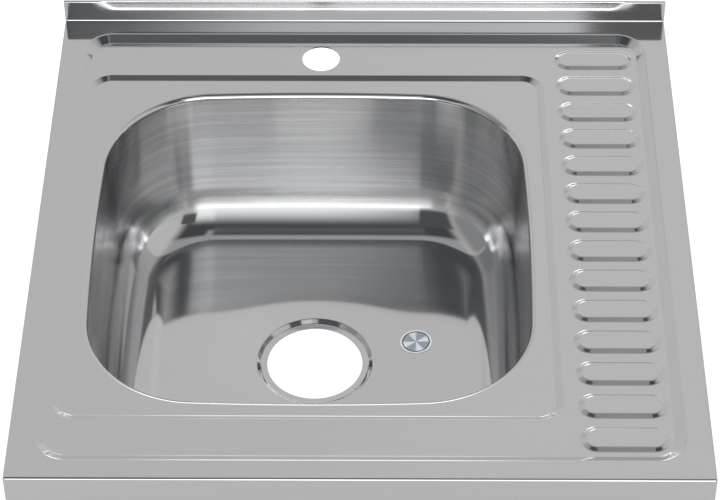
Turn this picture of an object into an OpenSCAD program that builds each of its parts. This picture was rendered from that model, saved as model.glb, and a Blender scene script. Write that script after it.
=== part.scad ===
// Lay-on kitchen sink: one bowl, a ribbed drainer strip at its right and an upstand along the rear.
// Millimetres, +Z up, front towards -Y. The origin is the centre of the drain hole, on its seat.

/* [Deck] */
// Width of the deck, left to right
deck_w = 600; // [580:5:700]
// Depth of the deck, front to back, with the upstand
deck_d = 600; // [570:5:660]
// Thickness of the stainless sheet
sheet = 0.8; // [0.6:0.1:1.2]
// Height of the skirt folded down round the deck
skirt_h = 30; // [26:1:45]
// Width of the hem folded in under the skirt
hem_w = 16; // [14:1:20]
// Width of the hem at the rear, which stays clear of the tap hole
rear_hem_w = 6; // [5:0.5:16]

/* [Upstand] */
// Height of the upstand over the deck
upstand_h = 25; // [20:1:60]
// Thickness of the folded upstand, front to back
upstand_t = 3; // [3:0.5:8]
// Height of the swage line over the deck
swage_z = 15.5; // [8:0.5:18]
// Depth that the strip over the swage line is set back
swage_set = 0.9; // [0.5:0.1:1.2]
// Distance from the left side to the swage's end
swage_left = 30; // [20:1:80]
// Distance from the right side to the swage's end
swage_right = 32; // [20:1:80]
// Length over which each end of the swage climbs to the top
swage_run = 22; // [10:1:30]

/* [Outer step] */
// Width of the border at the left and right
border_side = 22.5; // [18:0.5:26]
// Width of the border at the front
border_front = 21.5; // [18:0.5:26]
// Width of the border at the rear, with the upstand
border_rear = 23; // [21:0.5:26]
// Plan width of the step's slope
outer_w = 8.5; // [6:0.5:9]
// Drop of the step
outer_h = 5; // [3:0.5:8]
// Corner radius of the step's top line
outer_r = 28; // [20:1:40]

/* [Inner step] */
// Width of the flat strip between the two steps at the left
strip_left = 0.5; // [0.5:0.5:20]
// Depth of the tap ledge, the flat strip between the two steps at the rear
ledge_d = 48; // [47:1:75]
// Distance from the bowl's wall line to the step's top line at the left and right
surround_side = 22; // [18:0.5:22]
// Distance from the bowl's wall line to the step's top line at the front
surround_front = 22.5; // [19:0.5:30]
// Distance from the bowl's wall line to the step's top line at the rear
surround_rear = 26; // [19:0.5:30]
// Plan width of the step's slope
inner_w = 5.5; // [3:0.5:6]
// Drop of the step
inner_h = 3; // [2:0.5:5]
// Corner radius of the step's top line
inner_r = 22; // [16:1:40]

/* [Bowl] */
// Width of the bowl between its side wall lines
bowl_w = 400; // [360:5:410]
// Depth of the bowl between its front and rear wall lines, front to back
bowl_d = 400; // [360:5:410]
// Height of the bowl from the surround down to the edge of its floor
bowl_h = 160; // [120:5:200]
// Corner radius of the bowl's wall line
bowl_corner_r = 107; // [80:1:125]
// Lean of the walls from the vertical, in degrees
draft = 2.5; // [2:0.5:6]
// Radius of the roll at the rim
rim_r = 5; // [4:0.5:8]
// Width of the flat flange welded flush into the deck
flange_w = 7; // [5:0.5:8]
// Radius between the walls and the floor
floor_r = 45; // [24:1:50]

/* [Drain] */
// Radius of the drain hole
drain_r = 46; // [40:0.5:48]
// Outer radius of the recess round the drain hole
seat_r = 56; // [54:0.5:60]
// Depth of the recess
seat_h = 3.5; // [2:0.5:5]
// Plan width of the recess's slope
seat_slope = 4; // [1:0.5:5]
// Least width of the flat edge left round the dished part of the floor
dish_edge = 11; // [5:1:24]
// Fall of the dished floor towards the drain
dish_h = 5; // [3:0.5:8]

/* [Tap hole] */
// Radius of the tap hole
tap_r = 18.5; // [16:0.5:19]
// Distance of the tap hole to the right of the bowl's centre
tap_dx = 4; // [-10:0.5:10]
// Distance of the tap hole behind the middle of its ledge
tap_dy = 1; // [-1:0.5:1]

/* [Drainer ribs] */
// Number of ribs
rib_count = 14; // [8:1:15]
// Width of a rib at its foot
rib_w = 28; // [20:1:30]
// Height of a rib
rib_h = 2.5; // [2:0.5:5]
// Plan width of a rib's slope
rib_slope = 5; // [3:0.5:6]
// Gap between the inner step and the ribs' left ends
rib_gap_left = 12.5; // [8:0.5:20]
// Gap between the ribs' right ends and the outer step
rib_gap_right = 4.5; // [3:0.5:12]
// Gap between the first rib and the front step
rib_gap_front = 5.5; // [4:0.5:20]
// Gap between the last rib and the rear step
rib_gap_rear = 11.5; // [4:0.5:20]

/* [Channels] */
// Thickness of the galvanised channels
channel_t = 1.2; // [1:0.1:2]

/* [Tap plate] */
// Width of the plate that stiffens the tap ledge, left to right
plate_w = 130; // [80:5:180]
// Gap between the plate and the steps in front of it and behind it
plate_edge = 2.5; // [1:0.5:2.5]
// Thickness of the plate
plate_t = 1.5; // [1:0.1:3]
// Clearance round the tap in the plate's hole
plate_gap = 1; // [0.5:0.1:1.5]

/* [Deadening pads] */
// Thickness of the bitumen pads
pad_t = 2; // [1:0.5:3]
// Length of each wall pad
wall_pad_l = 160; // [100:5:180]
// Distance from the surround down to the wall pads' top edges
wall_pad_top = 35; // [15:1:50]
// Distance from the wall pads' bottom edges down to the bend at the floor
wall_pad_foot = 16; // [4:1:30]
// Gap between the drain's recess and the floor pad
floor_pad_in = 19; // [10:1:30]
// Gap between the floor pad and the outer edge of the dished floor
floor_pad_out = 7; // [2:1:30]

/* [Fixing straps] */
// Width of a strap
strap_w = 25; // [20:1:40]
// Thickness of a strap
strap_t = 1.5; // [1:0.1:3]
// Length of a strap below the hem
strap_drop = 36; // [30:1:60]
// Distance from the deck's front or rear to a strap's middle
strap_y = 70; // [50:5:120]
// Distance from the strap's bottom edge to the wood screw's hole
strap_hole_z = 10; // [8:1:20]
// Radius of the wood screw's hole
strap_hole_r = 2.25; // [2:0.25:3]

/* [Screws] */
// Radius of the strap screw's shank
screw_r = 2; // [1.5:0.25:3]
// Length of the strap screw's shank
screw_l = 6; // [5:0.5:8]
// Radius of the strap screw's head
screw_head_r = 3.8; // [3.2:0.1:4.5]
// Height of the strap screw's head
screw_head_h = 2.4; // [1.5:0.1:3]
// Radial clearance of a screw in its holes
screw_gap = 0.15; // [0.1:0.05:0.3]

/* [Earthing] */
// Width of the earthing tag
tag_w = 20; // [18:1:30]
// Length of each leg of the tag
tag_l = 22; // [20:1:30]
// Thickness of the tag
tag_t = 1.5; // [1:0.1:3]
// Distance from the deck's right side to the tag's middle
tag_right = 150; // [130:1:200]
// Distance from the rear step's foot to the tag's hanging leg
tag_back = 3; // [2:0.5:8]
// Distance from the leg's bottom edge to its hole
tag_hole = 8.5; // [8:0.5:10]
// Radius of the earthing screw's shank
earth_r = 3; // [2.5:0.25:4]
// Length of the earthing screw's shank
earth_l = 14; // [13:1:20]
// Radius of the earthing screw's head
earth_head_r = 5.7; // [5:0.1:7]
// Height of the earthing screw's head
earth_head_h = 3.6; // [3:0.1:4.5]
// Radius of the earthing washer
washer_r = 6.3; // [6:0.1:8]
// Thickness of the earthing washer
washer_t = 1.6; // [1:0.1:2]
// Width of the earthing nut across its flats
earth_nut_w = 10; // [9:0.5:12]
// Thickness of the earthing nut
earth_nut_h = 5; // [4:0.5:6]

/* [Label] */
// Radius of the round foil label on the floor
label_r = 15.5; // [10:0.5:18]
// Thickness of the foil label
label_t = 0.3; // [0.2:0.05:0.5]
// Distance from the dished floor's outer edge to the label's middle
label_edge = 37.5; // [30:0.5:55]
// Direction of the label from the drain, in degrees from the right
label_turn = 13; // [0:1:90]

/* [Hidden] */

$fn = 96;
over = 1;                  // how far a cut runs past the face that it cuts
lap = 1;                   // how far neighbouring stretches of a sheet run into each other
arc_steps = 8;             // straight stretches in each bend of a section

steel = "#b4b4b6";
bright_steel = "#c8c9cc";
zinc = "#9aa0a6";
bitumen = "#3a3a3c";
brass = "#c9a84c";

deck_x = deck_w / 2;
bowl_x = -deck_x + border_side + outer_w + strip_left + surround_side + bowl_w / 2;
bowl_y = deck_d - border_rear - outer_w - ledge_d - surround_rear - bowl_d / 2;

// Levels, with the border's top face at zero
panel_z = -outer_h;
surround_z = panel_z - inner_h;
floor_z = surround_z - bowl_h;
dish_z = floor_z - dish_h;
drain_z = dish_z - seat_h;

// Top lines and feet of the two steps, as [x0, x1, y0, y1, r]
outer_top = [-deck_x + border_side, deck_x - border_side, border_front, deck_d - border_rear, outer_r];
outer_foot = inset(outer_top, outer_w);
inner_top = [
  bowl_x - bowl_w / 2 - surround_side, bowl_x + bowl_w / 2 + surround_side,
  bowl_y - bowl_d / 2 - surround_front, bowl_y + bowl_d / 2 + surround_rear, inner_r
];
inner_foot = inset(inner_top, inner_w);

// Section of the bowl: u runs outwards from the wall line, v up from the surround
rim_c = [rim_r, -rim_r];
wall_top = rim_c + rim_r * [-cos(draft), sin(draft)];
fillet_v = floor_r - bowl_h;
wall_l = (wall_top.y - fillet_v + floor_r * sin(draft)) / cos(draft);
wall_foot = wall_top - wall_l * [sin(draft), cos(draft)];
fillet_c = [wall_foot.x - floor_r * cos(draft), fillet_v];
floor_u = floor(fillet_c.x) - 1;   // the floor is flat a little before this line
dish_r = min(bowl_w, bowl_d) / 2 + floor_u - dish_edge;

// Ribs
rib_x0 = inner_top[1] + rib_gap_left;
rib_x1 = outer_foot[1] - rib_gap_right;
rib_y0 = outer_foot[2] + rib_gap_front + rib_w / 2;
rib_y1 = outer_foot[3] - rib_gap_rear - rib_w / 2;
rib_pitch = (rib_y1 - rib_y0) / (rib_count - 1);

// Tap ledge
tap_x = bowl_x + tap_dx;
ledge_y = outer_foot[3] - ledge_d / 2;
tap_y = ledge_y + tap_dy;
plate_d = ledge_d - 2 * plate_edge;

// Channels fill the space between the border and the hem
channel_w = hem_w - sheet;
rear_channel_w = rear_hem_w - sheet;
channel_h = skirt_h - 2 * sheet;
channel_in = deck_x - hem_w;             // inner face of the side channels

// Straps and their screws
strap_top = -sheet - channel_t;
strap_bottom = -skirt_h - strap_drop;
screw_z = (strap_top - skirt_h) / 2;

// Earthing tag under the panel, in front of the rear step
tag_x = deck_x - tag_right;
tag_y = outer_foot[3] - tag_back;
tag_top = panel_z - sheet;
tag_hole_z = tag_top - tag_l + tag_hole;

// Label on the dished floor
dish_slope = atan(dish_h / (dish_r - seat_r));
label_out = dish_r - label_edge;
label_lift = 0.1;          // keeps the flat foil clear of the conical floor

function inset(b, w) = [b[0] + w, b[1] - w, b[2] + w, b[3] - w, b[4] - w];
// The bowl's wall line grown by u
function bowl_box(u) = inset(
  [bowl_x - bowl_w / 2, bowl_x + bowl_w / 2, bowl_y - bowl_d / 2, bowl_y + bowl_d / 2, bowl_corner_r], -u
);
function arc(c, r, a0, a1) =
  [for (i = [0:arc_steps]) let (a = a0 + (a1 - a0) * i / arc_steps) c + r * [cos(a), sin(a)]];
// One face of the bowl's section from the rim roll to the floor, down a depth of metal
function bowl_line(depth) = concat(
  arc(rim_c, rim_r - depth, 90, 180 - draft),
  arc(fillet_c, floor_r + depth, -draft, -90)
);
function lowered(list, h) = [for (p = list) p - [0, h]];
function reversed(list) = [for (i = [len(list) - 1:-1:0]) list[i]];
// Level of the dished floor's underside at a radius from the drain's axis
function dish_under(r) = floor_z - sheet - (dish_r - r) * tan(dish_slope);
// Point on the straight wall's face at a height v, down a depth of metal
function on_wall(v, depth) =
  [wall_top.x + (v - wall_top.y) * tan(draft) + depth / cos(draft), v];

module from_drain() translate([-bowl_x, -bowl_y, -drain_z]) children();

// Sweeps a section round a rounded rectangle; the section's x runs outwards from the line
module sweep_rect(b) {
  half = [(b[1] - b[0]) / 2, (b[3] - b[2]) / 2];
  r = b[4];
  translate([(b[0] + b[1]) / 2, (b[2] + b[3]) / 2, 0])
    for (i = [0:3]) {
      across = half[i % 2];
      along = half[(i + 1) % 2] - r;
      rotate(90 * i) {
        translate([across, along, 0]) rotate([90, 0, 0]) linear_extrude(2 * along) children();
        translate([across - r, along, 0]) rotate_extrude(angle = 90) translate([r, 0]) children();
      }
    }
}

// Solid plate with rounded corners, its top face at z
module rect_plate(b, z, t) {
  r = b[4];
  translate([0, 0, z - t]) {
    translate([b[0] + r, b[2], 0]) cube([b[1] - b[0] - 2 * r, b[3] - b[2], t]);
    for (side = [0, 1])
      translate([side == 0 ? b[0] : b[1] - r, b[2] + r, 0]) cube([r, b[3] - b[2] - 2 * r, t]);
    for (i = [0:3]) {
      x = (i == 0 || i == 3) ? b[1] - r : b[0] + r;
      y = i < 2 ? b[3] - r : b[2] + r;
      translate([x, y, 0]) rotate(90 * i) rotate_extrude(angle = 90) square([r, t]);
    }
  }
}

// One pressed rib, its foot at the panel's level
module rib(l) {
  r = rib_w / 2;
  run = l / 2 - r;
  top = r - rib_slope;
  section = [
    [0, rib_h], [top, rib_h], [r, 0], [r + lap, 0],
    [r + lap, -sheet], [r, -sheet], [top, rib_h - sheet], [0, rib_h - sheet]
  ];
  for (side = [0, 1])
    mirror([side, 0, 0]) translate([run, 0, 0]) rotate(-90) rotate_extrude(angle = 180) polygon(section);
  for (side = [0, 1])
    mirror([0, side, 0]) translate([-run, 0, 0]) rotate([90, 0, 90])
      linear_extrude(2 * run) polygon(section);
}

module rib_window(l) {
  r = rib_w / 2;
  run = l / 2 - r;
  translate([-run, -r, -sheet - over]) cube([2 * run, 2 * r, sheet + 2 * over]);
  for (side = [0, 1])
    mirror([side, 0, 0]) translate([run, 0, -sheet - over])
      rotate(-90) rotate_extrude(angle = 180) square([r, sheet + 2 * over]);
}

module at_ribs() {
  for (i = [0:rib_count - 1])
    translate([(rib_x0 + rib_x1) / 2, rib_y0 + i * rib_pitch, panel_z]) children();
}

module step_ring(b, z, w, h) {
  top = [[lap, 0], [0, 0], [-w, -h], [-w - lap, -h]];
  translate([0, 0, z]) sweep_rect(b) polygon(concat(top, reversed(lowered(top, sheet))));
}

module panel() {
  rib_l = rib_x1 - rib_x0;
  difference() {
    rect_plate(outer_foot, panel_z, sheet);
    rect_plate(inner_top, panel_z + over, sheet + 2 * over);
    at_ribs() rib_window(rib_l);
    translate([tap_x, tap_y, panel_z - sheet - over]) cylinder(r = tap_r, h = sheet + 2 * over);
  }
  at_ribs() rib(rib_l);
}

module surround() {
  difference() {
    rect_plate(inner_foot, surround_z, sheet);
    rect_plate(bowl_box(rim_r + flange_w), surround_z + over, sheet + 2 * over);
  }
}

module border() {
  difference() {
    translate([-deck_x, 0, -sheet]) cube([deck_w, deck_d - upstand_t + sheet, sheet]);
    rect_plate(outer_top, over, sheet + 2 * over);
  }
}

// Face of the swage, grown by some metal all round
module swage_face(grow) {
  x0 = -deck_x + swage_left - grow;
  x1 = deck_x - swage_right + grow;
  z0 = swage_z - grow;
  z1 = upstand_h + over;
  polygon([[x0, z1], [x0 + swage_run, z0], [x1 - swage_run, z0], [x1, z1]]);
}

module upstand() {
  y0 = deck_d - upstand_t;
  difference() {
    translate([-deck_x, y0, -sheet]) cube([deck_w, upstand_t, upstand_h + sheet]);
    translate([0, y0 + swage_set, 0]) rotate([90, 0, 0]) linear_extrude(swage_set + over) swage_face(0);
    difference() {
      translate([-deck_x + sheet, y0 + sheet, -sheet - over])
        cube([deck_w - 2 * sheet, upstand_t - 2 * sheet, upstand_h + over]);
      translate([0, y0 + swage_set + sheet, 0]) rotate([90, 0, 0])
        linear_extrude(swage_set + sheet + over) swage_face(sheet);
    }
  }
}

module skirt() {
  translate([0, 0, -skirt_h])
    difference() {
      translate([-deck_x, 0, 0]) cube([deck_w, deck_d, skirt_h]);
      translate([-deck_x + sheet, sheet, sheet]) cube([deck_w - 2 * sheet, deck_d - 2 * sheet, skirt_h]);
      translate([-deck_x + hem_w, hem_w, -over]) cube([deck_w - 2 * hem_w, deck_d - hem_w - rear_hem_w, skirt_h]);
    }
}

module deck() {
  color(steel) from_drain() {
    border();
    upstand();
    skirt();
    step_ring(outer_top, 0, outer_w, outer_h);
    panel();
    step_ring(inner_top, panel_z, inner_w, inner_h);
    surround();
  }
}

module bowl() {
  lip = rim_r + flange_w;
  section = concat(
    [[lip, 0]], bowl_line(0), [[floor_u - lap, -bowl_h], [floor_u - lap, -bowl_h - sheet]],
    reversed(bowl_line(sheet)), [[lip, -sheet]]
  );
  seat_inner = seat_r - seat_slope;
  dish = [
    [dish_r + lap, floor_z], [dish_r, floor_z],
    [seat_r, dish_z], [seat_inner, drain_z], [drain_r, drain_z]
  ];
  color(bright_steel) from_drain() {
    translate([0, 0, surround_z]) sweep_rect(bowl_box(0)) polygon(section);
    difference() {
      rect_plate(bowl_box(floor_u), floor_z, sheet);
      translate([bowl_x, bowl_y, floor_z - sheet - over]) cylinder(r = dish_r, h = sheet + 2 * over);
    }
    translate([bowl_x, bowl_y, 0]) rotate_extrude()
      polygon(concat(dish, reversed(lowered(dish, sheet))));
  }
}

// Channel along +Y with its web at x = 0 and its open side towards +X
module channel(l, w = channel_w) {
  difference() {
    cube([w, l, channel_h]);
    translate([channel_t, -over, channel_t]) cube([w, l + 2 * over, channel_h - 2 * channel_t]);
  }
}

module screw_hole(r) {
  rotate([0, 90, 0]) translate([0, 0, -over]) cylinder(r = r, h = channel_t + strap_t + 2 * over);
}

// Places a child at the screws of one side, its x running outwards from the channel's inner face
module at_side_screws(side) {
  for (y = [strap_y, deck_d - strap_y])
    mirror([side < 0 ? 1 : 0, 0, 0]) translate([channel_in, y, screw_z]) children();
}

module side_channel(side) {
  difference() {
    mirror([side < 0 ? 1 : 0, 0, 0])
      translate([channel_in, hem_w, -skirt_h + sheet]) channel(deck_d - hem_w - rear_hem_w);
    at_side_screws(side) screw_hole(screw_r + screw_gap);
  }
}

module end_channel(rear) {
  x = deck_x - sheet;
  y = rear ? deck_d - rear_hem_w : hem_w;
  w = rear ? rear_channel_w : channel_w;
  translate([rear ? x : -x, y, -skirt_h + sheet]) rotate(rear ? 90 : -90) channel(2 * x, w);
}

module front_channel() color(zinc) from_drain() end_channel(false);
module rear_channel() color(zinc) from_drain() end_channel(true);
module left_channel() color(zinc) from_drain() side_channel(-1);
module right_channel() color(zinc) from_drain() side_channel(1);

module tap_plate() {
  color(zinc) from_drain()
    difference() {
      translate([tap_x - plate_w / 2, ledge_y - plate_d / 2, panel_z - sheet - plate_t])
        cube([plate_w, plate_d, plate_t]);
      translate([tap_x, tap_y, panel_z - sheet - plate_t - over])
        cylinder(r = tap_r + plate_gap, h = plate_t + 2 * over);
    }
}

// Ring under the dished floor
module floor_pad() {
  ring = [for (r = [seat_r + floor_pad_in, dish_r - floor_pad_out]) [r, dish_under(r)]];
  color(bitumen) from_drain() translate([bowl_x, bowl_y, 0]) rotate_extrude()
    polygon([ring[0], ring[1], ring[1] - [0, pad_t], ring[0] - [0, pad_t]]);
}

// Pad stuck to the outside of one wall; k counts the walls round from the right
module wall_pad(k) {
  half = [bowl_w / 2, bowl_d / 2];
  v0 = -wall_pad_top;
  v1 = wall_foot.y + wall_pad_foot;
  back = sheet + pad_t;
  color(bitumen) from_drain() translate([bowl_x, bowl_y, surround_z])
    rotate(90 * k) translate([half[k % 2], wall_pad_l / 2, 0])
      rotate([90, 0, 0]) linear_extrude(wall_pad_l)
        polygon([on_wall(v0, sheet), on_wall(v1, sheet), on_wall(v1, back), on_wall(v0, back)]);
}

module right_pad() wall_pad(0);
module rear_pad() wall_pad(1);
module left_pad() wall_pad(2);
module front_pad() wall_pad(3);

// Strap on the inner face of a side channel, with a screw hole at each end
module strap(side, y) {
  color(zinc) from_drain() mirror([side < 0 ? 1 : 0, 0, 0])
    difference() {
      translate([channel_in - strap_t, y - strap_w / 2, strap_bottom])
        cube([strap_t, strap_w, strap_top - strap_bottom]);
      translate([channel_in - strap_t, y, screw_z]) screw_hole(screw_r + screw_gap);
      translate([channel_in - strap_t, y, strap_bottom + strap_hole_z]) screw_hole(strap_hole_r);
    }
}

module front_left_strap() strap(-1, strap_y);
module front_right_strap() strap(1, strap_y);
module rear_left_strap() strap(-1, deck_d - strap_y);
module rear_right_strap() strap(1, deck_d - strap_y);

// Pan-head screw along +X, the seat of its head at x = 0
module pan_screw(r, l, head_r, head_h) {
  rotate([0, 90, 0]) {
    cylinder(r = r, h = l);
    translate([0, 0, -head_h]) cylinder(r = head_r, h = head_h);
  }
}

module strap_screws() {
  color(bright_steel) from_drain()
    for (side = [-1, 1])
      at_side_screws(side) translate([-strap_t, 0, 0])
        pan_screw(screw_r, screw_l, screw_head_r, screw_head_h);
}

module earth_tag() {
  color(bright_steel) from_drain() translate([tag_x - tag_w / 2, tag_y - tag_l, tag_top])
    difference() {
      translate([0, 0, -tag_l]) cube([tag_w, tag_l, tag_l]);
      translate([-over, -over, -tag_l - over])
        cube([tag_w + 2 * over, tag_l - tag_t + over, tag_l - tag_t + over]);
      translate([tag_w / 2, tag_l + over, tag_hole_z - tag_top]) rotate([90, 0, 0])
        cylinder(r = earth_r + screw_gap, h = tag_t + 2 * over);
    }
}

// Screw through the tag towards the front, where its free end takes the wire
module earth_screw() {
  color(brass) from_drain() translate([tag_x, tag_y, tag_hole_z])
    rotate(-90) pan_screw(earth_r, earth_l, earth_head_r, earth_head_h);
}

module earth_washer() {
  color(brass) from_drain() translate([tag_x, tag_y - tag_t, tag_hole_z]) rotate([90, 0, 0])
    difference() {
      cylinder(r = washer_r, h = washer_t);
      translate([0, 0, -over]) cylinder(r = earth_r + screw_gap, h = washer_t + 2 * over);
    }
}

module earth_nut() {
  color(brass) from_drain() translate([tag_x, tag_y - tag_t - washer_t, tag_hole_z]) rotate([90, 0, 0])
    difference() {
      cylinder(r = earth_nut_w / sqrt(3), h = earth_nut_h, $fn = 6);
      translate([0, 0, -over]) cylinder(r = earth_r + screw_gap, h = earth_nut_h + 2 * over);
    }
}

module foil_label() {
  rise = label_out - seat_r;
  color("#d8dade") translate([0, 0, dish_z - drain_z + rise * tan(dish_slope) + label_lift])
    rotate(label_turn) translate([label_out, 0, 0])
      rotate([0, -dish_slope, 0]) cylinder(r = label_r, h = label_t);
}

deck();
bowl();
front_channel();
rear_channel();
left_channel();
right_channel();
tap_plate();
floor_pad();
front_pad();
rear_pad();
left_pad();
right_pad();
front_left_strap();
front_right_strap();
rear_left_strap();
rear_right_strap();
strap_screws();
earth_tag();
earth_screw();
earth_washer();
earth_nut();
foil_label();
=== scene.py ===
import math

import bmesh
import bpy
from mathutils import Matrix, Vector


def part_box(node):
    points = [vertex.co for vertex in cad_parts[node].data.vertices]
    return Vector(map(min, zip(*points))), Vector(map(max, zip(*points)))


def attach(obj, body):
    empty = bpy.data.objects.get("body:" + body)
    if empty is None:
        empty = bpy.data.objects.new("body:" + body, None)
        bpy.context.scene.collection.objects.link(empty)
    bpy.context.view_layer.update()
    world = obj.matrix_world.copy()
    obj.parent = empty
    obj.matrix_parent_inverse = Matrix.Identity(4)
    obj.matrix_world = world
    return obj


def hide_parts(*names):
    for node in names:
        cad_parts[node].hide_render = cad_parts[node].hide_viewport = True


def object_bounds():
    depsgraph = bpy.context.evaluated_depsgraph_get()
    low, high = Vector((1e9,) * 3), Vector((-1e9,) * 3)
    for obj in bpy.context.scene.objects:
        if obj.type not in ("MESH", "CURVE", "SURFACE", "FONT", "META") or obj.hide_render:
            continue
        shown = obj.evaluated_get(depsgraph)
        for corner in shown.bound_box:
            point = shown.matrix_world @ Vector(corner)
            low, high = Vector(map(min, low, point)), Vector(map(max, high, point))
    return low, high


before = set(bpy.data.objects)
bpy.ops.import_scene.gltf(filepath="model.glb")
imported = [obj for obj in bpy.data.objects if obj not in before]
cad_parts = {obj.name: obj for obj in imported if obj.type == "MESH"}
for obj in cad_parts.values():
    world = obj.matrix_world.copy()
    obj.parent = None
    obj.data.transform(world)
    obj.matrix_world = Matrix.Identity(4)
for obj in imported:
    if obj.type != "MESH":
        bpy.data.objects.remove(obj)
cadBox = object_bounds()
print("stage: frame loaded,", len(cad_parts), "nodes")

deckLow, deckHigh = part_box("deck")

# The deck is drawn from its own middle, front edge and border top, and moved there at the end.
# The bowl is drawn round the drain's axis, which is the part's origin.
upstandHeight = 0.025
deckPlace = Vector(((deckLow.x + deckHigh.x) / 2, deckLow.y, deckHigh.z - upstandHeight))
deckWidth = deckHigh.x - deckLow.x
deckDepth = deckHigh.y - deckLow.y
skirtHeight = deckPlace.z - deckLow.z
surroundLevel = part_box("bowl")[1].z
sheet = 0.0008


# Camera, at the place worked out from the deck's corners in the picture

cameraSet = {
    "place": (0.0190, -1.3846, 1.6515),   # from the deck's front middle
    "turn": 0.7206,                       # degrees to the left
    "down": 44.902,
    "roll": -0.3779,
    "lens": 128.18, "sensor": 36,
}


def makeCamera():
    data = bpy.data.cameras.new("camera")
    data.lens = cameraSet["lens"]
    data.sensor_width = cameraSet["sensor"]
    camera = bpy.data.objects.new("camera", data)
    bpy.context.scene.collection.objects.link(camera)
    turn = Matrix.Rotation(math.radians(cameraSet["turn"]), 4, "Z")
    tilt = Matrix.Rotation(math.radians(90 - cameraSet["down"]), 4, "X")
    roll = Matrix.Rotation(math.radians(cameraSet["roll"]), 4, "Z")
    camera.matrix_world = Matrix.Translation(deckPlace + Vector(cameraSet["place"])) @ turn @ tilt @ roll
    bpy.context.scene.camera = camera


makeCamera()
print("stage: camera placed")


# Mesh helpers

meshSet = {
    "merge": 1e-5, "level": 1e-6, "slant": 1e-4,         # distances within which places count as one
    "up": 0.9, "flat": 0.999,                            # least upward share of a normal that faces up
    "smallBend": 0.01, "smallStep": 7, "largeStep": 4,   # degrees that a bend turns in each of its steps
    "leastSteps": 3, "cornerSteps": 16,
}


def roundedWire(part, points, close=False):
    # points are (place, bend radius), and a bend is rounded with the bevel operator
    verts = [part.verts.new(place) for place, bend in points]
    for pair in zip(verts, verts[1:] + verts[:1] if close else verts[1:]):
        part.edges.new(pair)
    ends = range(len(verts)) if close else range(1, len(verts) - 1)
    for i in ends:
        bend = points[i][1]
        if bend:
            here = Vector(points[i][0])
            before = (here - Vector(points[i - 1][0])).normalized()
            after = (Vector(points[(i + 1) % len(points)][0]) - here).normalized()
            turn = before.angle(after)
            step = meshSet["smallStep"] if bend < meshSet["smallBend"] else meshSet["largeStep"]
            steps = max(meshSet["leastSteps"], round(turn / math.radians(step)))
            bmesh.ops.bevel(part, geom=[verts[i]], offset=bend * math.tan(turn / 2), segments=steps,
                            profile=0.5, affect="VERTICES", material=-1)


def roundedLine(points):
    # the places along such a wire, in order from its first end
    part = bmesh.new()
    roundedWire(part, points)
    here = min(part.verts, key=lambda v: (v.co - Vector(points[0][0])).length)
    line, edge = [here.co.copy()], None
    while True:
        onward = [e for e in here.link_edges if e is not edge]
        if not onward:
            break
        edge = onward[0]
        here = edge.other_vert(here)
        line.append(here.co.copy())
    part.free()
    return line


def addTo(whole, part):
    mesh = bpy.data.meshes.new("part")
    part.to_mesh(mesh)
    part.free()
    whole.from_mesh(mesh)
    bpy.data.meshes.remove(mesh)


def vertsOf(geom):
    return [g for g in geom if isinstance(g, bmesh.types.BMVert)]


def edgesOf(geom):
    return [g for g in geom if isinstance(g, bmesh.types.BMEdge)]


def sweep(whole, points, path, closeWire=False):
    # carries a wire along straight runs and turns about upright axes
    part = bmesh.new()
    roundedWire(part, points, closeWire)
    geom = part.verts[:] + part.edges[:]
    for move in path:
        if len(move) == 1:
            grown = bmesh.ops.extrude_edge_only(part, edges=edgesOf(geom))["geom"]
            moved = vertsOf(grown)
            bmesh.ops.translate(part, verts=moved, vec=move[0])
            movedSet = set(moved)
            geom = moved + [e for e in edgesOf(grown) if e.verts[0] in movedSet and e.verts[1] in movedSet]
        else:
            centre, angle, steps = move
            geom = bmesh.ops.spin(part, geom=geom, cent=(*centre, 0), axis=(0, 0, 1), angle=angle,
                                  steps=steps)["geom_last"]
    bmesh.ops.remove_doubles(part, verts=part.verts[:], dist=meshSet["merge"])
    addTo(whole, part)


def roundBox(x0, x1, y0, y1, r):
    # path round a box with round corners, from the front end of its right side
    across, along = x1 - x0 - 2 * r, y1 - y0 - 2 * r
    quarter = math.pi / 2
    steps = meshSet["cornerSteps"]
    return [((0, along, 0),), ((x1 - r, y1 - r), quarter, steps),
            ((-across, 0, 0),), ((x0 + r, y1 - r), quarter, steps),
            ((0, -along, 0),), ((x0 + r, y0 + r), quarter, steps),
            ((across, 0, 0),), ((x1 - r, y0 + r), quarter, steps)]


def sweepBox(whole, section, box):
    # section points are (out, up, bend)
    x0, x1, y0, y1, r = box
    points = [((x1 + out, y0 + r, up), bend) for out, up, bend in section]
    sweep(whole, points, roundBox(*box))


def flatFill(whole, level):
    # fills between the open edges that lie at one level
    edges = [e for e in whole.edges if len(e.link_faces) < 2
             and all(abs(v.co.z - level) < meshSet["level"] for v in e.verts)]
    bmesh.ops.triangle_fill(whole, edges=edges, use_beauty=True, use_dissolve=False, normal=(0, 0, 1))


def faceUp(whole):
    bmesh.ops.recalc_face_normals(whole, faces=whole.faces[:])
    if sum(f.normal.z * f.calc_area() for f in whole.faces) < 0:
        bmesh.ops.reverse_faces(whole, faces=whole.faces[:])


def makeObject(part, name):
    mesh = bpy.data.meshes.new(name)
    part.to_mesh(mesh)
    part.free()
    thing = bpy.data.objects.new(name, mesh)
    bpy.context.scene.collection.objects.link(thing)
    return thing


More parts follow.
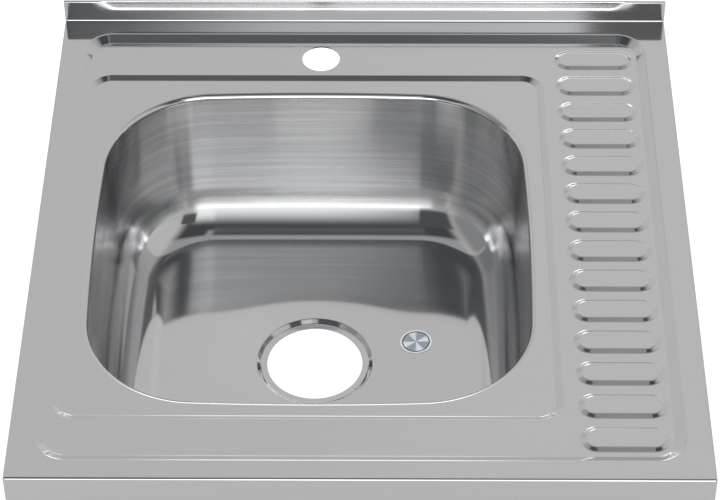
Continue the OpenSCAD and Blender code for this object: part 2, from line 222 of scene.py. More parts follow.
def makePiece(whole, name, node, place=(0, 0, 0), thickness=0, sharp=60, dull=0):
    # turns a bmesh into a finished piece that stands for a node
    bmesh.ops.translate(whole, verts=whole.verts[:], vec=place)
    for face in whole.faces:
        face.smooth = True
    for edge in whole.edges:
        edge.smooth = not edge.is_boundary and edge.calc_face_angle(0) < math.radians(sharp)
    piece = makeObject(whole, name)
    if thickness:
        shell = piece.modifiers.new("Solidify", "SOLIDIFY")
        shell.thickness = thickness
        shell.offset = -1
        shell.use_even_offset = True
        shell.material_offset = dull
    soft = piece.modifiers.new("WeightedNormal", "WEIGHTED_NORMAL")
    soft.weight = 100
    soft.keep_sharp = True
    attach(piece, "root")
    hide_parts(node)
    return piece


# Material helpers

def newMaterial(name, color, metallic, rough):
    material = bpy.data.materials.new(name)
    material.use_nodes = True
    tree = material.node_tree
    shader = tree.nodes["Principled BSDF"]
    shader.inputs["Base Color"].default_value = (*color, 1)
    shader.inputs["Metallic"].default_value = metallic
    shader.inputs["Roughness"].default_value = rough
    return material, tree, shader


def addNode(tree, kind, **settings):
    node = tree.nodes.new(kind)
    for key, value in settings.items():
        setattr(node, key, value)
    return node


def makeMath(tree, kind, first, second=None, third=None):
    node = addNode(tree, "ShaderNodeMath", operation=kind)
    for socket, value in zip(node.inputs, (first, second, third)):
        if isinstance(value, bpy.types.NodeSocket):
            tree.links.new(value, socket)
        elif value is not None:
            socket.default_value = value
    return node.outputs[0]


def mixValue(tree, share, first, second):
    node = addNode(tree, "ShaderNodeMix", data_type="FLOAT")
    for socket, value in zip((node.inputs[0], node.inputs[2], node.inputs[3]), (share, first, second)):
        tree.links.new(value, socket)
    return node.outputs[0]


def makeRange(tree, value, fromLow, fromHigh, toLow=0.0, toHigh=1.0, kind="SMOOTHSTEP"):
    node = addNode(tree, "ShaderNodeMapRange", interpolation_type=kind)
    tree.links.new(value, node.inputs[0])
    for socket, number in zip(node.inputs[1:5], (fromLow, fromHigh, toLow, toHigh)):
        socket.default_value = number
    return node.outputs[0]


def makeNoise(tree, scale, detail=2.0, rough=0.5, place=(0, 0, 0)):
    # noise on the piece's own coordinates; scale is one number for each axis
    coord = addNode(tree, "ShaderNodeTexCoord")
    mapping = addNode(tree, "ShaderNodeMapping")
    mapping.inputs["Scale"].default_value = scale
    mapping.inputs["Location"].default_value = place
    tree.links.new(coord.outputs["Object"], mapping.inputs["Vector"])
    noise = addNode(tree, "ShaderNodeTexNoise")
    noise.inputs["Scale"].default_value = 1
    noise.inputs["Detail"].default_value = detail
    noise.inputs["Roughness"].default_value = rough
    tree.links.new(mapping.outputs[0], noise.inputs["Vector"])
    return noise.outputs[0]


def makeBump(tree, shader, height, distance, strength):
    bump = addNode(tree, "ShaderNodeBump")
    bump.inputs["Strength"].default_value = strength
    bump.inputs["Distance"].default_value = distance
    tree.links.new(height, bump.inputs["Height"])
    tree.links.new(bump.outputs[0], shader.inputs["Normal"])


def makeTint(tree, shader, share, dark, light):
    # base colour between two tones
    mix = addNode(tree, "ShaderNodeMix", data_type="RGBA")
    tree.links.new(share, mix.inputs[0])
    mix.inputs[6].default_value = (*dark, 1)
    mix.inputs[7].default_value = (*light, 1)
    tree.links.new(mix.outputs[2], shader.inputs["Base Color"])


# Steel finishes

steelSet = {
    "tone": (0.640, 0.640, 0.645), "dark": (0.610, 0.610, 0.615), "light": (0.670, 0.670, 0.675),
    "wallDark": (0.620, 0.620, 0.625), "wallLight": (0.800, 0.800, 0.800),
    "deckRough": 0.085, "deckGrain": (6, 900, 900), "deckSpread": 0.35, "deckBase": 0.32,
    "upstandRough": 0.13, "upstandGrain": (8, 8, 700),
    "upstandFoot": 0.0004, "upstandFull": 0.0018,   # heights over the border where its look sets in
    "grainDetail": (3, 0.6),
    "floorRough": 0.07,
    "wallRough": 0.19, "wallStretch": 0.93,
    "wallGrain": (3, 3, 150), "wallDetail": (4, 0.6), "wallShare": 0.6,
    "wallFine": (9, 9, 520), "fineDetail": (2, 0.5), "fineShare": 0.4,
    "streakLow": 0.3, "streakHigh": 0.7,
    "satinFoot": 0.016, "satinFull": 0.025,    # heights over the floor's edge where satin sets in
    "satinEnd": 0.006, "rimStart": 0.0045,     # depths under the rim where it ends
    "cloudScale": (9, 9, 9), "cloudPlace": (3, 1, 0), "cloudSpread": 0.2, "cloudBase": 0.02,
    "backRough": 0.38, "backDark": (0.46, 0.46, 0.47), "backLight": (0.60, 0.60, 0.60),
    "backScale": (14, 14, 14), "backDetail": (4, 0.6),
}


def heightShare(tree, low, high):
    # 0 below one level, 1 above the other
    coord = addNode(tree, "ShaderNodeTexCoord")
    split = addNode(tree, "ShaderNodeSeparateXYZ")
    tree.links.new(coord.outputs["Object"], split.inputs[0])
    return makeRange(tree, split.outputs["Z"], low, high)


def brushUpright(tree, shader, share, stretch):
    # brushed along the horizontal, so that a reflection is blurred upright
    upright = addNode(tree, "ShaderNodeCombineXYZ")
    upright.inputs[2].default_value = 1
    tree.links.new(upright.outputs[0], shader.inputs["Tangent"])
    tree.links.new(makeMath(tree, "MULTIPLY", share, stretch), shader.inputs["Anisotropic"])


def deckSteel():
    s = steelSet
    material, tree, shader = newMaterial("deckSteel", s["tone"], 1, s["deckRough"])
    share = heightShare(tree, deckPlace.z + s["upstandFoot"], deckPlace.z + s["upstandFull"])
    brushUpright(tree, shader, share, s["wallStretch"])
    rise = makeMath(tree, "MULTIPLY", share, s["upstandRough"] - s["deckRough"])
    tree.links.new(makeMath(tree, "ADD", rise, s["deckRough"]), shader.inputs["Roughness"])
    grain = makeNoise(tree, s["deckGrain"], *s["grainDetail"])
    flat = makeMath(tree, "MULTIPLY_ADD", grain, s["deckSpread"], s["deckBase"])
    upright = makeNoise(tree, s["upstandGrain"], *s["grainDetail"])
    makeTint(tree, shader, mixValue(tree, share, flat, upright), s["dark"], s["light"])
    return material


def bowlSteel():
    s = steelSet
    edge = surroundLevel - bowlSet["high"]
    material, tree, shader = newMaterial("bowlSteel", s["tone"], 1, s["floorRough"])
    share = heightShare(tree, edge + s["satinFoot"], edge + s["satinFull"])
    rim = heightShare(tree, surroundLevel - s["satinEnd"], surroundLevel - s["rimStart"])
    share = makeMath(tree, "MULTIPLY", share, makeMath(tree, "SUBTRACT", 1, rim))
    brushUpright(tree, shader, share, s["wallStretch"])
    rise = makeMath(tree, "MULTIPLY", share, s["wallRough"] - s["floorRough"])
    tree.links.new(makeMath(tree, "ADD", rise, s["floorRough"]), shader.inputs["Roughness"])
    streak = makeMath(tree, "MULTIPLY", makeNoise(tree, s["wallGrain"], *s["wallDetail"]), s["wallShare"])
    fine = makeNoise(tree, s["wallFine"], *s["fineDetail"])
    streak = makeMath(tree, "MULTIPLY_ADD", fine, s["fineShare"], streak)
    streak = makeRange(tree, streak, s["streakLow"], s["streakHigh"])
    cloud = makeNoise(tree, s["cloudScale"], *s["fineDetail"], s["cloudPlace"])
    cloud = makeMath(tree, "MULTIPLY_ADD", cloud, s["cloudSpread"], s["cloudBase"])
    makeTint(tree, shader, mixValue(tree, share, cloud, streak), s["wallDark"], s["wallLight"])
    return material


def backSteel():
    s = steelSet
    material, tree, shader = newMaterial("backSteel", s["tone"], 1, s["backRough"])
    cloud = makeNoise(tree, s["backScale"], *s["backDetail"])
    makeTint(tree, shader, cloud, s["backDark"], s["backLight"])
    return material


# Deck

deckSet = {
    "fold": 0.0014, "frontFold": 0.0023,   # radii of the folds round the border
    "foldSteps": 5, "foldTurn": 0.5,       # least turn in radians of an edge that is a fold
    "hem": 0.016, "rearHem": 0.006,
    "upstandThick": 0.003,
    "swageLevel": 0.0155, "swageSet": 0.0009, "swageWide": 0.0022,
    "swageLeft": 0.030, "swageRight": 0.032, "swageRun": 0.022,
    "swageFoot": 0.004, "swageReach": 0.002,   # level from which it is pressed, and reach before the face
    "leastUpright": 0.015, "cutsAlong": 239, "cutsUp": 39,
    "outerBox": (-0.2775, 0.2775, 0.0215, 0.577, 0.028),
    "outerWide": 0.0085, "outerDrop": 0.005, "outerTop": 0.003, "outerFoot": 0.0011,
    "innerBox": (-0.2685, 0.1755, 0.072, 0.5205, 0.022),
    "innerWide": 0.0055, "innerDrop": 0.003, "innerTop": 0.0005, "innerFoot": 0.0025,
    "tail": 0.29,                  # flat beyond a bend, as a share of its radius
    "tapPlace": (-0.0425, 0.5455), "tapRadius": 0.0185, "tapSteps": 72,
    "ribLeft": 0.188, "ribRight": 0.2645, "ribFirst": 0.0495, "ribLast": 0.543,
    "ribs": 14, "ribRadius": 0.014, "ribHigh": 0.0019, "ribSlope": 0.0042, "ribBend": 0.004,
    "ribTail": 0.5, "ribSteps": 24,
    "mergeWithin": 2e-6,
}
bowlMiddle = Vector((-0.0465, 0.2945))


def stepSection(wide, drop, topBend, footBend, level):
    tail = deckSet["tail"]
    return [(tail * topBend, level, 0), (0, level, topBend), (-wide, level - drop, footBend),
            (-wide - tail * footBend, level - drop, 0)]


def makeShell(whole):
    d = deckSet
    half = deckWidth / 2
    box = bmesh.new()
    bmesh.ops.create_cube(box, size=1, matrix=Matrix.Translation((0, deckDepth / 2, -skirtHeight / 2))
                          @ Matrix.Diagonal((deckWidth, deckDepth, skirtHeight, 1)))
    back = deckDepth - d["upstandThick"]
    bmesh.ops.bisect_plane(box, geom=box.verts[:] + box.edges[:] + box.faces[:], plane_co=(0, back, 0),
                           plane_no=(0, 1, 0))
    strip = [f for f in box.faces if f.normal.z > meshSet["up"] and f.calc_center_median().y > back]
    raised = bmesh.ops.extrude_face_region(box, geom=strip)["geom"]
    bmesh.ops.delete(box, geom=strip, context="FACES_ONLY")
    bmesh.ops.translate(box, verts=vertsOf(raised), vec=(0, 0, upstandHeight))
    under = [f for f in box.faces if f.normal.z < -meshSet["up"]]
    bmesh.ops.delete(box, geom=under, context="FACES")
    bmesh.ops.recalc_face_normals(box, faces=box.faces[:])
    hem = bmesh.ops.extrude_edge_only(box, edges=[e for e in box.edges if e.is_boundary])["geom"]
    hems = d["hem"] + d["rearHem"]
    bmesh.ops.scale(box, verts=vertsOf(hem), vec=(1 - d["hem"] / half, 1 - hems / deckDepth, 1),
                    space=Matrix.Translation((0, -deckDepth * d["hem"] / hems, 0)))
    folds = []
    for e in box.edges:
        # the hem's mitred corners slant, and aren't folds
        slanted = all(abs(e.verts[0].co[axis] - e.verts[1].co[axis]) > meshSet["slant"] for axis in (0, 1))
        if len(e.link_faces) == 2 and e.calc_face_angle(0) > d["foldTurn"] and not slanted:
            folds.append(e)
    bmesh.ops.bevel(box, geom=folds, offset=d["fold"], segments=d["foldSteps"], profile=0.5,
                    affect="EDGES", material=-1)
    # the folds grow towards the front
    grow = d["frontFold"] / d["fold"]
    reach = d["fold"] + meshSet["merge"]
    for v in box.verts:
        side = half - abs(v.co.x)
        bent = v.co.z > -reach and min(side, v.co.y) < reach and v.co.y < 0.5 * deckDepth
        if bent:
            if v.co.y < reach:
                v.co.y *= grow
            if side < reach:
                v.co.x = math.copysign(half - side * grow, v.co.x)
            v.co.z *= grow
    border = [f for f in box.faces if f.normal.z > meshSet["flat"]
              and abs(f.calc_center_median().z) < meshSet["merge"]]
    bmesh.ops.delete(box, geom=border, context="FACES_ONLY")
    addTo(whole, box)


def pressSwage(whole):
    # sets the upper strip of the upstand back, with both ends of the line climbing to the top
    d = deckSet
    back = deckDepth - d["upstandThick"]
    long = [e for e in whole.edges if e.calc_length() > 0.5 * deckWidth
            and all(v.co.y > back - d["swageReach"] and v.co.z > -meshSet["merge"] for v in e.verts)]
    bmesh.ops.subdivide_edges(whole, edges=long, cuts=d["cutsAlong"], use_grid_fill=True)
    upright = [e for e in whole.edges if abs(e.verts[0].co.x - e.verts[1].co.x) < meshSet["level"]
               and abs(e.verts[0].co.z - e.verts[1].co.z) > d["leastUpright"]
               and all(abs(v.co.y - back) < meshSet["merge"] for v in e.verts)]
    bmesh.ops.subdivide_edges(whole, edges=upright, cuts=d["cutsUp"], use_grid_fill=True)
    left = -deckWidth / 2 + d["swageLeft"]
    right = deckWidth / 2 - d["swageRight"]
    for v in whole.verts:
        if v.co.z > d["swageFoot"]:
            inside = min(v.co.x - left, right - v.co.x) / d["swageRun"]
            climb = 0.5 + 0.5 * math.cos(math.pi * min(1, max(0, inside)))
            line = d["swageLevel"] + climb * (upstandHeight + d["swageWide"] - d["swageLevel"])
            share = min(1, max(0, (v.co.z - line) / d["swageWide"] + 0.5))
            depth = (deckDepth - v.co.y) / d["upstandThick"]
            v.co.y += d["swageSet"] * depth * share * share * (3 - 2 * share)


def makeRibs(whole):
    d = deckSet
    r = d["ribRadius"]
    run = d["ribRight"] - d["ribLeft"] - 2 * r
    level = -d["outerDrop"]
    section = [(0, d["ribHigh"], 0), (r - d["ribSlope"], d["ribHigh"], d["ribBend"]), (r, 0, d["ribBend"]),
               (r + d["ribTail"] * d["ribBend"], 0, 0)]
    pitch = (d["ribLast"] - d["ribFirst"]) / (d["ribs"] - 1)
    for i in range(d["ribs"]):
        y = d["ribFirst"] + i * pitch
        points = [((d["ribRight"] - r, y - out, level + up), bend) for out, up, bend in section]
        sweep(whole, points, [((d["ribRight"] - r, y), math.pi, d["ribSteps"]), ((-run, 0, 0),),
                              ((d["ribLeft"] + r, y), math.pi, d["ribSteps"]), ((run, 0, 0),)])


def makeDeck():
    d = deckSet
    whole = bmesh.new()
    makeShell(whole)
    pressSwage(whole)
    panel = -d["outerDrop"]
    surround = panel - d["innerDrop"]
    outer = stepSection(d["outerWide"], d["outerDrop"], d["outerTop"], d["outerFoot"], 0)
    inner = stepSection(d["innerWide"], d["innerDrop"], d["innerTop"], d["innerFoot"], panel)
    sweepBox(whole, outer, d["outerBox"])
    sweepBox(whole, inner, d["innerBox"])
    makeRibs(whole)
    bmesh.ops.create_circle(whole, cap_ends=False, segments=d["tapSteps"], radius=d["tapRadius"],
                            matrix=Matrix.Translation((*d["tapPlace"], panel)))
    path, start = bowlPath(bowlMiddle)
    sweep(whole, [((*start(bowlSet["rimBend"] + bowlSet["flange"]), surround), 0)], path)
    bmesh.ops.remove_doubles(whole, verts=whole.verts[:], dist=d["mergeWithin"])
    for level in (0, panel, surround):
        flatFill(whole, level)
    faceUp(whole)
    return whole


# Bowl

bowlSet = {
    "wide": 0.4, "cornerRadius": 0.1, "bow": 2.5, "bowSteps": 24, "cornerSteps": 32,
    "flange": 0.007, "rimBend": 0.005, "draft": 2.5, "floorBend": 0.045,
    "high": 0.160, "floorEdge": 0.051,
    # the floor falls as a cone that is level with its edge at one distance, and steeper near the drain
    "coneReach": 0.1506, "coneSlope": 2.7, "nearReach": 0.095, "nearSlope": 0.8, "nearSoft": 0.006,
    "fadeHigh": 0.06, "rings": 30,         # height over the floor at which its fall has faded out
    "drainRadius": 0.046, "seatRadius": 0.056, "seatDrop": 0.0035, "seatSlope": 0.004, "seatBend": 0.0018,
    "seatMargin": 0.002,
}


def bowlPath(middle):
    # round the bowl's outline, whose sides are bowed; and the point where it starts, moved outwards
    b = bowlSet
    reach = b["bow"] - b["cornerRadius"]
    far = b["wide"] / 2 - b["bow"]
    corner = (far + math.sqrt(2 * reach * reach - far * far)) / 2
    turn = math.asin(corner / reach)
    path = []
    for k in range(4):
        spin = Matrix.Rotation(k * math.pi / 2, 2)
        side = middle + spin @ Vector((far, 0))
        end = middle + spin @ Vector((corner, corner))
        path += [(tuple(side), 2 * turn, b["bowSteps"]),
                 (tuple(end), math.pi / 2 - 2 * turn, b["cornerSteps"])]
    start = Matrix.Rotation(-turn, 2)
    return path, lambda out: middle + Vector((far, 0)) + start @ Vector((b["bow"] + out, 0))


def floorFall(r):
    # how far the floor lies below its edge, at a distance from the drain's axis
    b = bowlSet
    near = b["nearSoft"] * math.log1p(math.exp((b["nearReach"] - r) / b["nearSoft"]))
    cone = (b["coneReach"] - r) * math.tan(math.radians(b["coneSlope"]))
    return cone + near * math.tan(math.radians(b["nearSlope"]))


def wallOut(up, depth=0.0):
    # how far out the wall's face lies at a height, down a depth of metal
    b = bowlSet
    lean = math.radians(b["draft"])
    top = b["rimBend"] * (math.sin(lean) - 1)
    return b["rimBend"] * (1 - math.cos(lean)) + (up - top) * math.tan(lean) + depth / math.cos(lean)


def makeBowl():
    b = bowlSet
    whole = bmesh.new()
    path, start = bowlPath(Vector((0, 0)))
    top = surroundLevel
    floor = top - b["high"]
    # corners of the section before its bends: lip, rim, foot of the wall, floor
    section = [(b["rimBend"] + b["flange"], 0, 0), (wallOut(0), 0, b["rimBend"]),
               (wallOut(-b["high"]), -b["high"], b["floorBend"]), (-b["floorEdge"], -b["high"], 0)]
    sweep(whole, [((*start(out), top + up), bend) for out, up, bend in section], path)
    edge = [e for e in whole.edges if e.is_boundary
            and all(abs(v.co.z - floor) < meshSet["level"] for v in e.verts)]
    ring = bmesh.ops.extrude_edge_only(whole, edges=edge)["geom"]
    seat = b["seatRadius"] + b["seatMargin"]
    inner = set(vertsOf(ring))
    for v in inner:
        v.co.xy = v.co.xy.normalized() * seat
    spokes = [e for e in whole.edges if (e.verts[0] in inner) != (e.verts[1] in inner)]
    bmesh.ops.subdivide_edges(whole, edges=spokes, cuts=b["rings"], use_grid_fill=True)
    for v in whole.verts:
        share = min(1, max(0, (floor + b["fadeHigh"] - v.co.z) / b["fadeHigh"]))
        v.co.z -= floorFall(v.co.xy.length) * share * share * (3 - 2 * share)
    dish = floor - floorFall(b["seatRadius"])
    drain = dish - b["seatDrop"]
    profile = roundedLine([((seat, 0, floor - floorFall(seat)), 0),
                           ((b["seatRadius"], 0, dish), b["seatBend"]),
                           ((b["seatRadius"] - b["seatSlope"], 0, drain), b["seatBend"]),
                           ((b["drainRadius"], 0, drain), 0)])
    loop = [e for e in whole.edges if e.is_boundary
            and all(abs(v.co.xy.length - seat) < meshSet["merge"] for v in e.verts)]
    for place in profile[1:]:
        grown = bmesh.ops.extrude_edge_only(whole, edges=loop)["geom"]
        for v in vertsOf(grown):
            v.co.xy = v.co.xy.normalized() * place.x
            v.co.z = place.z
        fresh = set(vertsOf(grown))
        loop = [e for e in edgesOf(grown) if e.verts[0] in fresh and e.verts[1] in fresh]
    faceUp(whole)
    return whole


deck = makePiece(makeDeck(), "pressed_deck", "deck", deckPlace, sheet, dull=1)
bowl = makePiece(makeBowl(), "drawn_bowl", "bowl", (0, 0, 0), sheet, dull=1)
back = backSteel()
for piece, finish in ((deck, deckSteel()), (bowl, bowlSteel())):
    piece.data.materials.append(finish)
    piece.data.materials.append(back)
print("stage: deck and bowl made,", len(deck.data.polygons), "and", len(bowl.data.polygons), "faces")


# Deadening pads

padSet = {
    "thick": 0.002, "long": 0.160, "top": 0.035, "foot": 0.016, "inner": 0.075, "outer": 0.131,
    "edge": 0.0005, "edgeSteps": 2, "edgeTurn": 1,   # least turn in radians of an edge that is eased
    "bowSteps": 12, "rings": 8, "turnSteps": 96,
    "dark": (0.014, 0.014, 0.015), "light": (0.035, 0.034, 0.033), "rough": 0.82,
    "grit": (420, 420, 420), "gritDetail": (4, 0.65), "gritLow": 0.35, "gritHigh": 0.75,
    "bump": 0.0004, "bumpStrength": 0.7,
}


def bitumen():
    p = padSet
    material, tree, shader = newMaterial("bitumen", p["dark"], 0, p["rough"])
    grit = makeNoise(tree, p["grit"], *p["gritDetail"])
    makeTint(tree, shader, makeRange(tree, grit, p["gritLow"], p["gritHigh"]), p["dark"], p["light"])
    makeBump(tree, shader, grit, p["bump"], p["bumpStrength"])
    return material


def easeEdges(whole):
    p = padSet
    bmesh.ops.recalc_face_normals(whole, faces=whole.faces[:])
    edges = [e for e in whole.edges if e.calc_face_angle(0) > p["edgeTurn"]]
    bmesh.ops.bevel(whole, geom=edges, offset=p["edge"], segments=p["edgeSteps"], profile=0.5,
                    affect="EDGES", material=-1)


def makeWallPad(k):
    # stuck to the outside of one wall, bowed as the wall is; k counts the walls round from the right
    p, b = padSet, bowlSet
    far = b["wide"] / 2 - b["bow"]
    spin = Matrix.Rotation(k * math.pi / 2, 2)
    half = math.asin(p["long"] / 2 / b["bow"])
    bendHigh = b["floorBend"] * (1 - math.sin(math.radians(b["draft"])))
    low = surroundLevel - b["high"] + bendHigh + p["foot"]
    places = [(wallOut(up, depth), surroundLevel + up) for up, depth in (
        (-p["top"], sheet), (low - surroundLevel, sheet), (low - surroundLevel, sheet + p["thick"]),
        (-p["top"], sheet + p["thick"]))]
    whole = bmesh.new()
    verts = []
    for out, up in places:
        start = spin @ (Vector((far, 0)) + Matrix.Rotation(-half, 2) @ Vector((b["bow"] + out, 0)))
        verts.append(whole.verts.new((*start, up)))
    face = whole.faces.new(verts)
    bmesh.ops.spin(whole, geom=[face] + list(face.edges) + verts, cent=(*(spin @ Vector((far, 0))), 0),
                   axis=(0, 0, 1), angle=2 * half, steps=p["bowSteps"])
    easeEdges(whole)
    return whole


def makeFloorPad():
    p = padSet
    floor = surroundLevel - bowlSet["high"] - sheet
    steps = p["rings"]
    radii = [p["inner"] + (p["outer"] - p["inner"]) * i / steps for i in range(steps + 1)]
    whole = bmesh.new()
    lower = [((r, 0, floor - floorFall(r) - p["thick"]), 0) for r in radii]
    upper = [((r, 0, floor - floorFall(r)), 0) for r in reversed(radii)]
    sweep(whole, lower + upper, [((0, 0), 2 * math.pi, p["turnSteps"])], closeWire=True)
    easeEdges(whole)
    return whole


padMaterial = bitumen()
for k, side in enumerate(("right", "rear", "left", "front")):
    pad = makePiece(makeWallPad(k), side + "_bitumen", side + "_pad", sharp=70)
    pad.data.materials.append(padMaterial)
floorPad = makePiece(makeFloorPad(), "floor_bitumen", "floor_pad", sharp=70)
floorPad.data.materials.append(padMaterial)
print("stage: pads made")


# Foil label

labelSet = {
    "radius": 0.0155, "thick": 0.0003, "away": 0.1005, "turn": 13, "lift": 0.0001,
    "steps": 64, "easeShare": 0.3, "easeSteps": 2,     # eased edge, as a share of the thickness
    "dark": (0.40, 0.46, 0.55), "light": (0.97, 0.98, 1.0), "line": (0.06, 0.07, 0.10),
    "rough": 0.24, "metal": 0.6, "stretch": 0.6,
    # painted highlight: four wedges round the middle where the foil's colour turns white, standing for the
    # glints of its turned face
    "paintedGlintWedges": 4, "paintedGlintTurn": 20, "paintedGlintLow": -0.3, "paintedGlintHigh": 0.9,
    "ringInner": (0.79, 0.81), "ringOuter": (0.86, 0.88),   # shares of the radius
}


def foil(middle):
    s = labelSet
    material, tree, shader = newMaterial("foil", s["light"], s["metal"], s["rough"])
    shader.inputs["Anisotropic"].default_value = s["stretch"]
    coord = addNode(tree, "ShaderNodeTexCoord")
    across = addNode(tree, "ShaderNodeVectorMath", operation="SUBTRACT")
    tree.links.new(coord.outputs["Object"], across.inputs[0])
    across.inputs[1].default_value = middle
    tree.links.new(across.outputs[0], shader.inputs["Tangent"])
    split = addNode(tree, "ShaderNodeSeparateXYZ")
    tree.links.new(across.outputs[0], split.inputs[0])
    # painted highlight: lighter wedges of colour from the angle about the middle
    angle = makeMath(tree, "ARCTAN2", split.outputs["Y"], split.outputs["X"])
    angle = makeMath(tree, "MULTIPLY_ADD", angle, s["paintedGlintWedges"], math.radians(s["paintedGlintTurn"]))
    paintedGlint = makeRange(tree, makeMath(tree, "SINE", angle), s["paintedGlintLow"], s["paintedGlintHigh"])
    size = addNode(tree, "ShaderNodeVectorMath", operation="LENGTH")
    tree.links.new(across.outputs[0], size.inputs[0])
    share = makeMath(tree, "DIVIDE", size.outputs["Value"], s["radius"])
    outside = makeRange(tree, share, *s["ringOuter"])
    # colour is white in the painted highlight wedges and in the white outer ring, bluish grey elsewhere
    makeTint(tree, shader, makeMath(tree, "MAXIMUM", paintedGlint, outside), s["dark"], s["light"])
    ring = makeMath(tree, "MULTIPLY", makeRange(tree, share, *s["ringInner"]),
                    makeRange(tree, share, *s["ringOuter"], 1, 0))
    line = addNode(tree, "ShaderNodeMix", data_type="RGBA")
    tree.links.new(ring, line.inputs[0])
    tree.links.new(shader.inputs["Base Color"].links[0].from_socket, line.inputs[6])
    line.inputs[7].default_value = (*s["line"], 1)
    tree.links.new(line.outputs[2], shader.inputs["Base Color"])
    return material


def makeLabel():
    s = labelSet
    slope = math.radians(bowlSet["coneSlope"])
    level = surroundLevel - bowlSet["high"] - floorFall(s["away"]) + s["lift"]
    place = (Matrix.Rotation(math.radians(s["turn"]), 4, "Z") @ Matrix.Translation((s["away"], 0, level))
             @ Matrix.Rotation(-slope, 4, "Y"))
    whole = bmesh.new()
    bmesh.ops.create_circle(whole, cap_ends=True, segments=s["steps"], radius=s["radius"])
    up = bmesh.ops.extrude_face_region(whole, geom=whole.faces[:])["geom"]
    bmesh.ops.translate(whole, verts=vertsOf(up), vec=(0, 0, s["thick"]))
    bmesh.ops.recalc_face_normals(whole, faces=whole.faces[:])
    top = [e for e in whole.edges if all(v.co.z > 0.5 * s["thick"] for v in e.verts)]
    bmesh.ops.bevel(whole, geom=top, offset=s["easeShare"] * s["thick"], segments=s["easeSteps"],
                    profile=0.5, affect="EDGES", material=-1)
    bmesh.ops.transform(whole, verts=whole.verts[:], matrix=place)
    piece = makePiece(whole, "round_label", "foil_label", sharp=40)
    piece.data.materials.append(foil(place.translation))


makeLabel()
print("stage: label made")


# Finishes of the pieces underneath, which keep their CAD shapes

flakeSet = {"scale": 110, "uneven": 1}
spreadSet = {"noiseRough": 0.6, "tintLow": 0.2, "tintHigh": 0.8, "smoother": 0.05, "rougher": 0.08}
metalSet = {
    # dark and light tone, roughness, scale of the pattern, its detail
    "galvanised": ((0.52, 0.54, 0.56), (0.74, 0.76, 0.78), 0.36, (70, 70, 70), 1.0),
    "zincPlate": ((0.62, 0.64, 0.67), (0.74, 0.75, 0.76), 0.24, (300, 300, 300), 2.0),
    "plainSteel": ((0.42, 0.42, 0.43), (0.54, 0.54, 0.54), 0.34, (40, 900, 900), 3.0),
    "brass": ((0.72, 0.53, 0.25), (0.83, 0.64, 0.34), 0.27, (260, 260, 260), 3.0),
}


def makeMetal(name):
    dark, light, rough, scale, detail = metalSet[name]
    spread = spreadSet
    material, tree, shader = newMaterial(name, dark, 1, rough)
    if name == "galvanised":
        coord = addNode(tree, "ShaderNodeTexCoord")
        flakes = addNode(tree, "ShaderNodeTexVoronoi")
        flakes.inputs["Scale"].default_value = flakeSet["scale"]
        flakes.inputs["Randomness"].default_value = flakeSet["uneven"]
        tree.links.new(coord.outputs["Object"], flakes.inputs["Vector"])
        pattern = addNode(tree, "ShaderNodeSeparateXYZ")
        tree.links.new(flakes.outputs["Color"], pattern.inputs[0])
        pattern = pattern.outputs[0]
    else:
        pattern = makeNoise(tree, scale, detail, spread["noiseRough"])
    makeTint(tree, shader, makeRange(tree, pattern, spread["tintLow"], spread["tintHigh"]), dark, light)
    uneven = makeRange(tree, pattern, 0, 1, rough - spread["smoother"], rough + spread["rougher"], "LINEAR")
    tree.links.new(uneven, shader.inputs["Roughness"])
    return material


wearing = {
    "galvanised": ["front_channel", "rear_channel", "left_channel", "right_channel", "tap_plate",
                   "front_left_strap", "front_right_strap", "rear_left_strap", "rear_right_strap"],
    "zincPlate": ["strap_screws"], "plainSteel": ["earth_tag"],
    "brass": ["earth_screw", "earth_washer", "earth_nut"],
}
for finish, nodes in wearing.items():
    material = makeMetal(finish)
    for node in nodes:
        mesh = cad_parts[node].data
        mesh.materials.clear()
        mesh.materials.append(material)
print("stage: finishes underneath made")


# Floor, lights and world

roomSet = {
    "plain": (0.68, 0.68, 0.68), "cool": (0.93, 1.0, 1.06),
    # soft-edged areas round the sink, each laid over the ones before it:
    # from and to in degrees over the top (0 rear, 90 above, 180 front), soft edge,
    # from and to across (-1 left, 1 right), soft edge, brightness, share of the cool tint
    "areas": [
        (28, 64, 6, 0.00, 0.20, 0.06, 0.72, 0.0),      # lighter wall to the right of the rear
        (-10, 18, 4, -0.30, 0.60, 0.10, 0.76, 0.2),    # foot of the wall at the rear
        (22, 41, 4, -0.46, -0.20, 0.03, 0.58, 0.2),    # darker patch to the left of the rear
        (17, 35, 3, -0.085, 0.045, 0.02, 2.3, 0.2),    # long lamp low at the rear
        (62, 88, 3, -0.52, 0.52, 0.10, 0.44, 0.3),     # grey above the rear
        (87, 144, 4, -0.52, 0.52, 0.10, 0.08, 1.0),    # dark ceiling
        (93, 106, 8, -0.14, 0.02, 0.05, 0.15, 0.8),    # less dark parts of it
        (93, 106, 8, 0.02, 0.055, 0.03, 0.18, 0.5),
        (66, 100, 6, 0.062, 0.13, 0.03, 0.42, 0.2),
        (66, 150, 8, -1.20, -0.60, 0.12, 0.32, 0.3),   # wall at the far left
        (108, 149, 4, -0.56, -0.06, 0.05, 0.11, 1.5),  # dark front left
        (129, 200, 20, -0.07, 0.40, 0.04, 1.12, 0.2),  # window in front
        (131, 200, 18, 0.07, 0.40, 0.06, 1.26, 0.2),
        (128, 180, 14, 0.40, 0.85, 0.08, 0.62, 0.3),   # greyer part at its right
        (150, 200, 8, -0.10, 0.38, 0.04, 1.38, 0.2),
        (156, 177, 3, -0.30, 0.40, 0.06, 3.2, 0.2),    # lamps low at the front
    ],
}


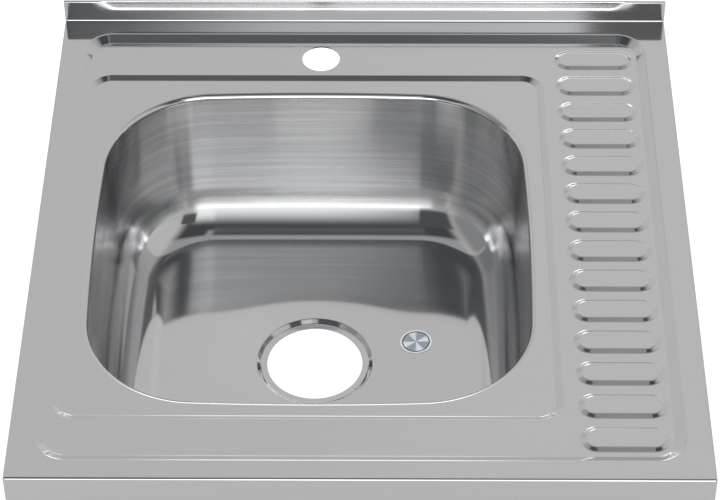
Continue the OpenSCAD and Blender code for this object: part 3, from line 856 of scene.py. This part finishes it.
def makeWorld():
    r = roomSet
    world = bpy.data.worlds.new("studio")
    bpy.context.scene.world = world
    world.use_nodes = True
    tree = world.node_tree
    coord = addNode(tree, "ShaderNodeTexCoord")
    split = addNode(tree, "ShaderNodeSeparateXYZ")
    tree.links.new(coord.outputs["Generated"], split.inputs[0])
    x, y, z = split.outputs
    over = makeMath(tree, "MULTIPLY", makeMath(tree, "ARCTAN2", z, y), 180 / math.pi)
    last = None
    for low, high, softOver, left, right, softAcross, level, cool in r["areas"]:
        share = makeRange(tree, over, low - softOver, low + softOver)
        for edge in (makeRange(tree, over, high - softOver, high + softOver, 1, 0),
                     makeRange(tree, x, left - softAcross, left + softAcross),
                     makeRange(tree, x, right - softAcross, right + softAcross, 1, 0)):
            share = makeMath(tree, "MULTIPLY", share, edge)
        mix = addNode(tree, "ShaderNodeMix", data_type="RGBA")
        tree.links.new(share, mix.inputs[0])
        if last:
            tree.links.new(last, mix.inputs[6])
        else:
            mix.inputs[6].default_value = (*r["plain"], 1)
        mix.inputs[7].default_value = (*(level * (1 + cool * (tint - 1)) for tint in r["cool"]), 1)
        last = mix.outputs[2]
    tree.links.new(last, tree.nodes["Background"].inputs["Color"])


lampSet = {"size": 3, "high": 2.2, "power": 35}


def makeLamp():
    # lights the dull pieces, and isn't mirrored in the steel
    s = lampSet
    data = bpy.data.lights.new("softbox", "AREA")
    data.size = s["size"]
    data.energy = s["power"]
    lamp = bpy.data.objects.new("softbox", data)
    bpy.context.scene.collection.objects.link(lamp)
    lamp.location.z = s["high"]
    lamp.visible_glossy = False


cardSet = {"left": 0.365, "right": 0.75, "front": -0.62, "high": 0.96, "long": 0.5, "tilt": 45,
           "tone": 0.12}


def makeCard():
    # a dark card out of the picture, which only the right end of the upstand mirrors
    s = cardSet
    part = bmesh.new()
    wide = (s["right"] - s["left"]) / 2
    place = (Matrix.Translation(((s["left"] + s["right"]) / 2, s["front"], s["high"]))
             @ Matrix.Rotation(math.radians(s["tilt"]), 4, "X"))
    bmesh.ops.create_grid(part, x_segments=1, y_segments=1, size=1,
                          matrix=place @ Matrix.Diagonal((wide, s["long"] / 2, 1, 1)))
    card = makeObject(part, "card")
    material, _, shader = newMaterial("darkCard", (0, 0, 0), 0, 1)
    shader.inputs["Specular IOR Level"].default_value = 0
    shader.inputs["Emission Color"].default_value = (1, 1, 1, 1)
    shader.inputs["Emission Strength"].default_value = s["tone"]
    card.data.materials.append(material)
    card.visible_camera = False
    card.visible_diffuse = False
    card.visible_shadow = False


floorSet = {"size": 6, "tone": 0.4, "rough": 0.9, "seen": 0.86, "mirrored": 0.34}


def makeFloor():
    f = floorSet
    part = bmesh.new()
    bmesh.ops.create_grid(part, x_segments=1, y_segments=1, size=f["size"])
    bmesh.ops.translate(part, verts=part.verts[:], vec=(0, 0, cadBox[0][2]))
    floor = makeObject(part, "floor")
    material, tree, shader = newMaterial("paleFloor", (f["tone"],) * 3, 0, f["rough"])
    shader.inputs["Emission Color"].default_value = (1, 1, 1, 1)
    path = addNode(tree, "ShaderNodeLightPath")
    seen = makeMath(tree, "MULTIPLY", path.outputs["Is Camera Ray"], f["seen"])
    mirrored = makeMath(tree, "MAXIMUM", path.outputs["Is Glossy Ray"], path.outputs["Is Transmission Ray"])
    mirrored = makeMath(tree, "MULTIPLY", mirrored, f["mirrored"])
    tree.links.new(makeMath(tree, "MAXIMUM", seen, mirrored), shader.inputs["Emission Strength"])
    floor.data.materials.append(material)


makeWorld()
makeLamp()
makeCard()
makeFloor()
bpy.context.scene.view_settings.view_transform = "Standard"
print("stage: floor and world made")
